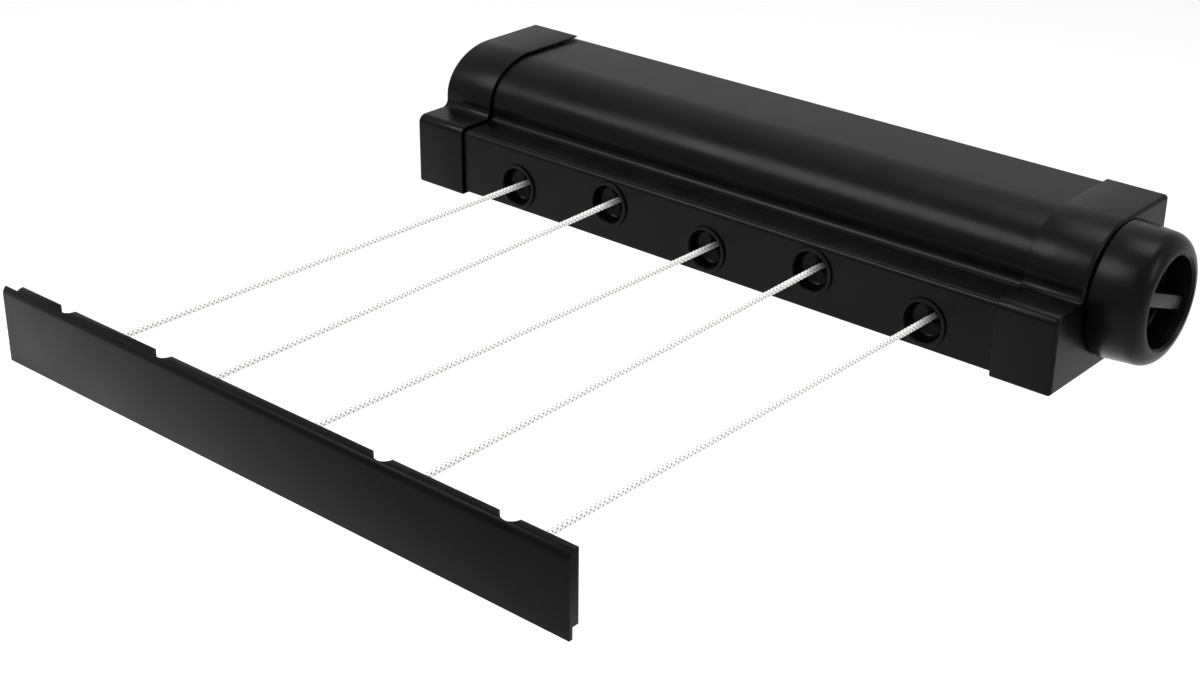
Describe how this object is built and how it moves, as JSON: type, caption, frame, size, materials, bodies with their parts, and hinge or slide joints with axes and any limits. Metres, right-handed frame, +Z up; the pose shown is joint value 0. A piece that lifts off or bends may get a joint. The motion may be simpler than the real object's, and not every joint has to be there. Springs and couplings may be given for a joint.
{
  "type": "retractable clothesline",
  "caption": "Wall-mounted retractable clothesline: a black stepped housing with a sprung drum and end lock knob, and white lines drawn out to a flat pull bar.",
  "frame": {"origin": "middle of the flat wall face at the back of the housing", "axes": "+X along the drum to the knob end, -Y out from the wall towards the pull bar, +Z up"},
  "size_m": [0.405, 0.367, 0.066],
  "materials": {
    "black_plastic": "satin moulded black, semi-gloss highlights",
    "inner_plastic": "plain dark grey moulding, matt",
    "white_line": "white twisted polyester line, soft sheen",
    "steel": "bright zinc-plated steel",
    "spring_steel": "blued spring steel, oiled",
    "acetal": "natural white acetal, satin"
  },
  "bodies": {
    "housing": {"base_plate": "inner_plastic", "case_screw_1": "steel", "case_screw_2": "steel", "case_screw_3": "steel", "case_screw_4": "steel", "front_cover": "black_plastic", "left_bulkhead": "inner_plastic", "left_bush": "acetal", "left_cap": "black_plastic", "line_1": "white_line", "line_2": "white_line", "line_3": "white_line", "line_4": "white_line", "line_5": "white_line", "line_guide_1": "black_plastic", "line_guide_2": "black_plastic", "line_guide_3": "black_plastic", "line_guide_4": "black_plastic", "line_guide_5": "black_plastic", "mainspring": "spring_steel", "pawl_pin": "steel", "pawl_spring": "spring_steel", "right_bulkhead": "inner_plastic", "right_bush": "acetal", "right_cap": "black_plastic", "spring_cup": "inner_plastic"},
    "drum": {"drum_shaft": "steel", "spring_arbor": "steel", "ratchet_wheel": "acetal", "spool_1": "inner_plastic", "spool_2": "inner_plastic", "spool_3": "inner_plastic", "spool_4": "inner_plastic", "spool_5": "inner_plastic", "winding_1": "white_line", "winding_2": "white_line", "winding_3": "white_line", "winding_4": "white_line", "winding_5": "white_line"},
    "bar": {"bar_front": "black_plastic", "bar_back": "black_plastic", "line_stop_1": "acetal", "line_stop_2": "acetal", "line_stop_3": "acetal", "line_stop_4": "acetal", "line_stop_5": "acetal"},
    "knob": {"knob": "black_plastic", "lock_cam": "acetal", "cam_screw": "steel"},
    "pawl": {"pawl": "acetal"}
  },
  "joints": [
    {"name": "bar_slide", "type": "slide", "parent": "housing", "child": "bar", "axis": [0, -1, 0], "range_m": [-0.27096, 3.927], "deforming": ["line_1", "line_2", "line_3", "line_4", "line_5"]},
    {"name": "drum_spin", "type": "hinge", "parent": "housing", "child": "drum", "pos_m": [0, -0.038, 0.001], "axis": [1, 0, 0], "range_deg": [-15001, 1036], "deforming": ["mainspring"]},
    {"name": "knob_turn", "type": "hinge", "parent": "housing", "child": "knob", "pos_m": [0, -0.038, 0.001], "axis": [1, 0, 0], "range_deg": [-60, 0]},
    {"name": "pawl_swing", "type": "hinge", "parent": "housing", "child": "pawl", "pos_m": [0, -0.077, -0.0038], "axis": [1, 0, 0], "range_deg": [0, 10], "deforming": ["pawl_spring"]}
  ],
  "couplings": [
    {"joint": "drum_spin", "follows": "bar_slide", "rad_per_m": -66.667},
    {"joint": "pawl_swing", "follows": "knob_turn", "ratio": -0.16667}
  ]
}
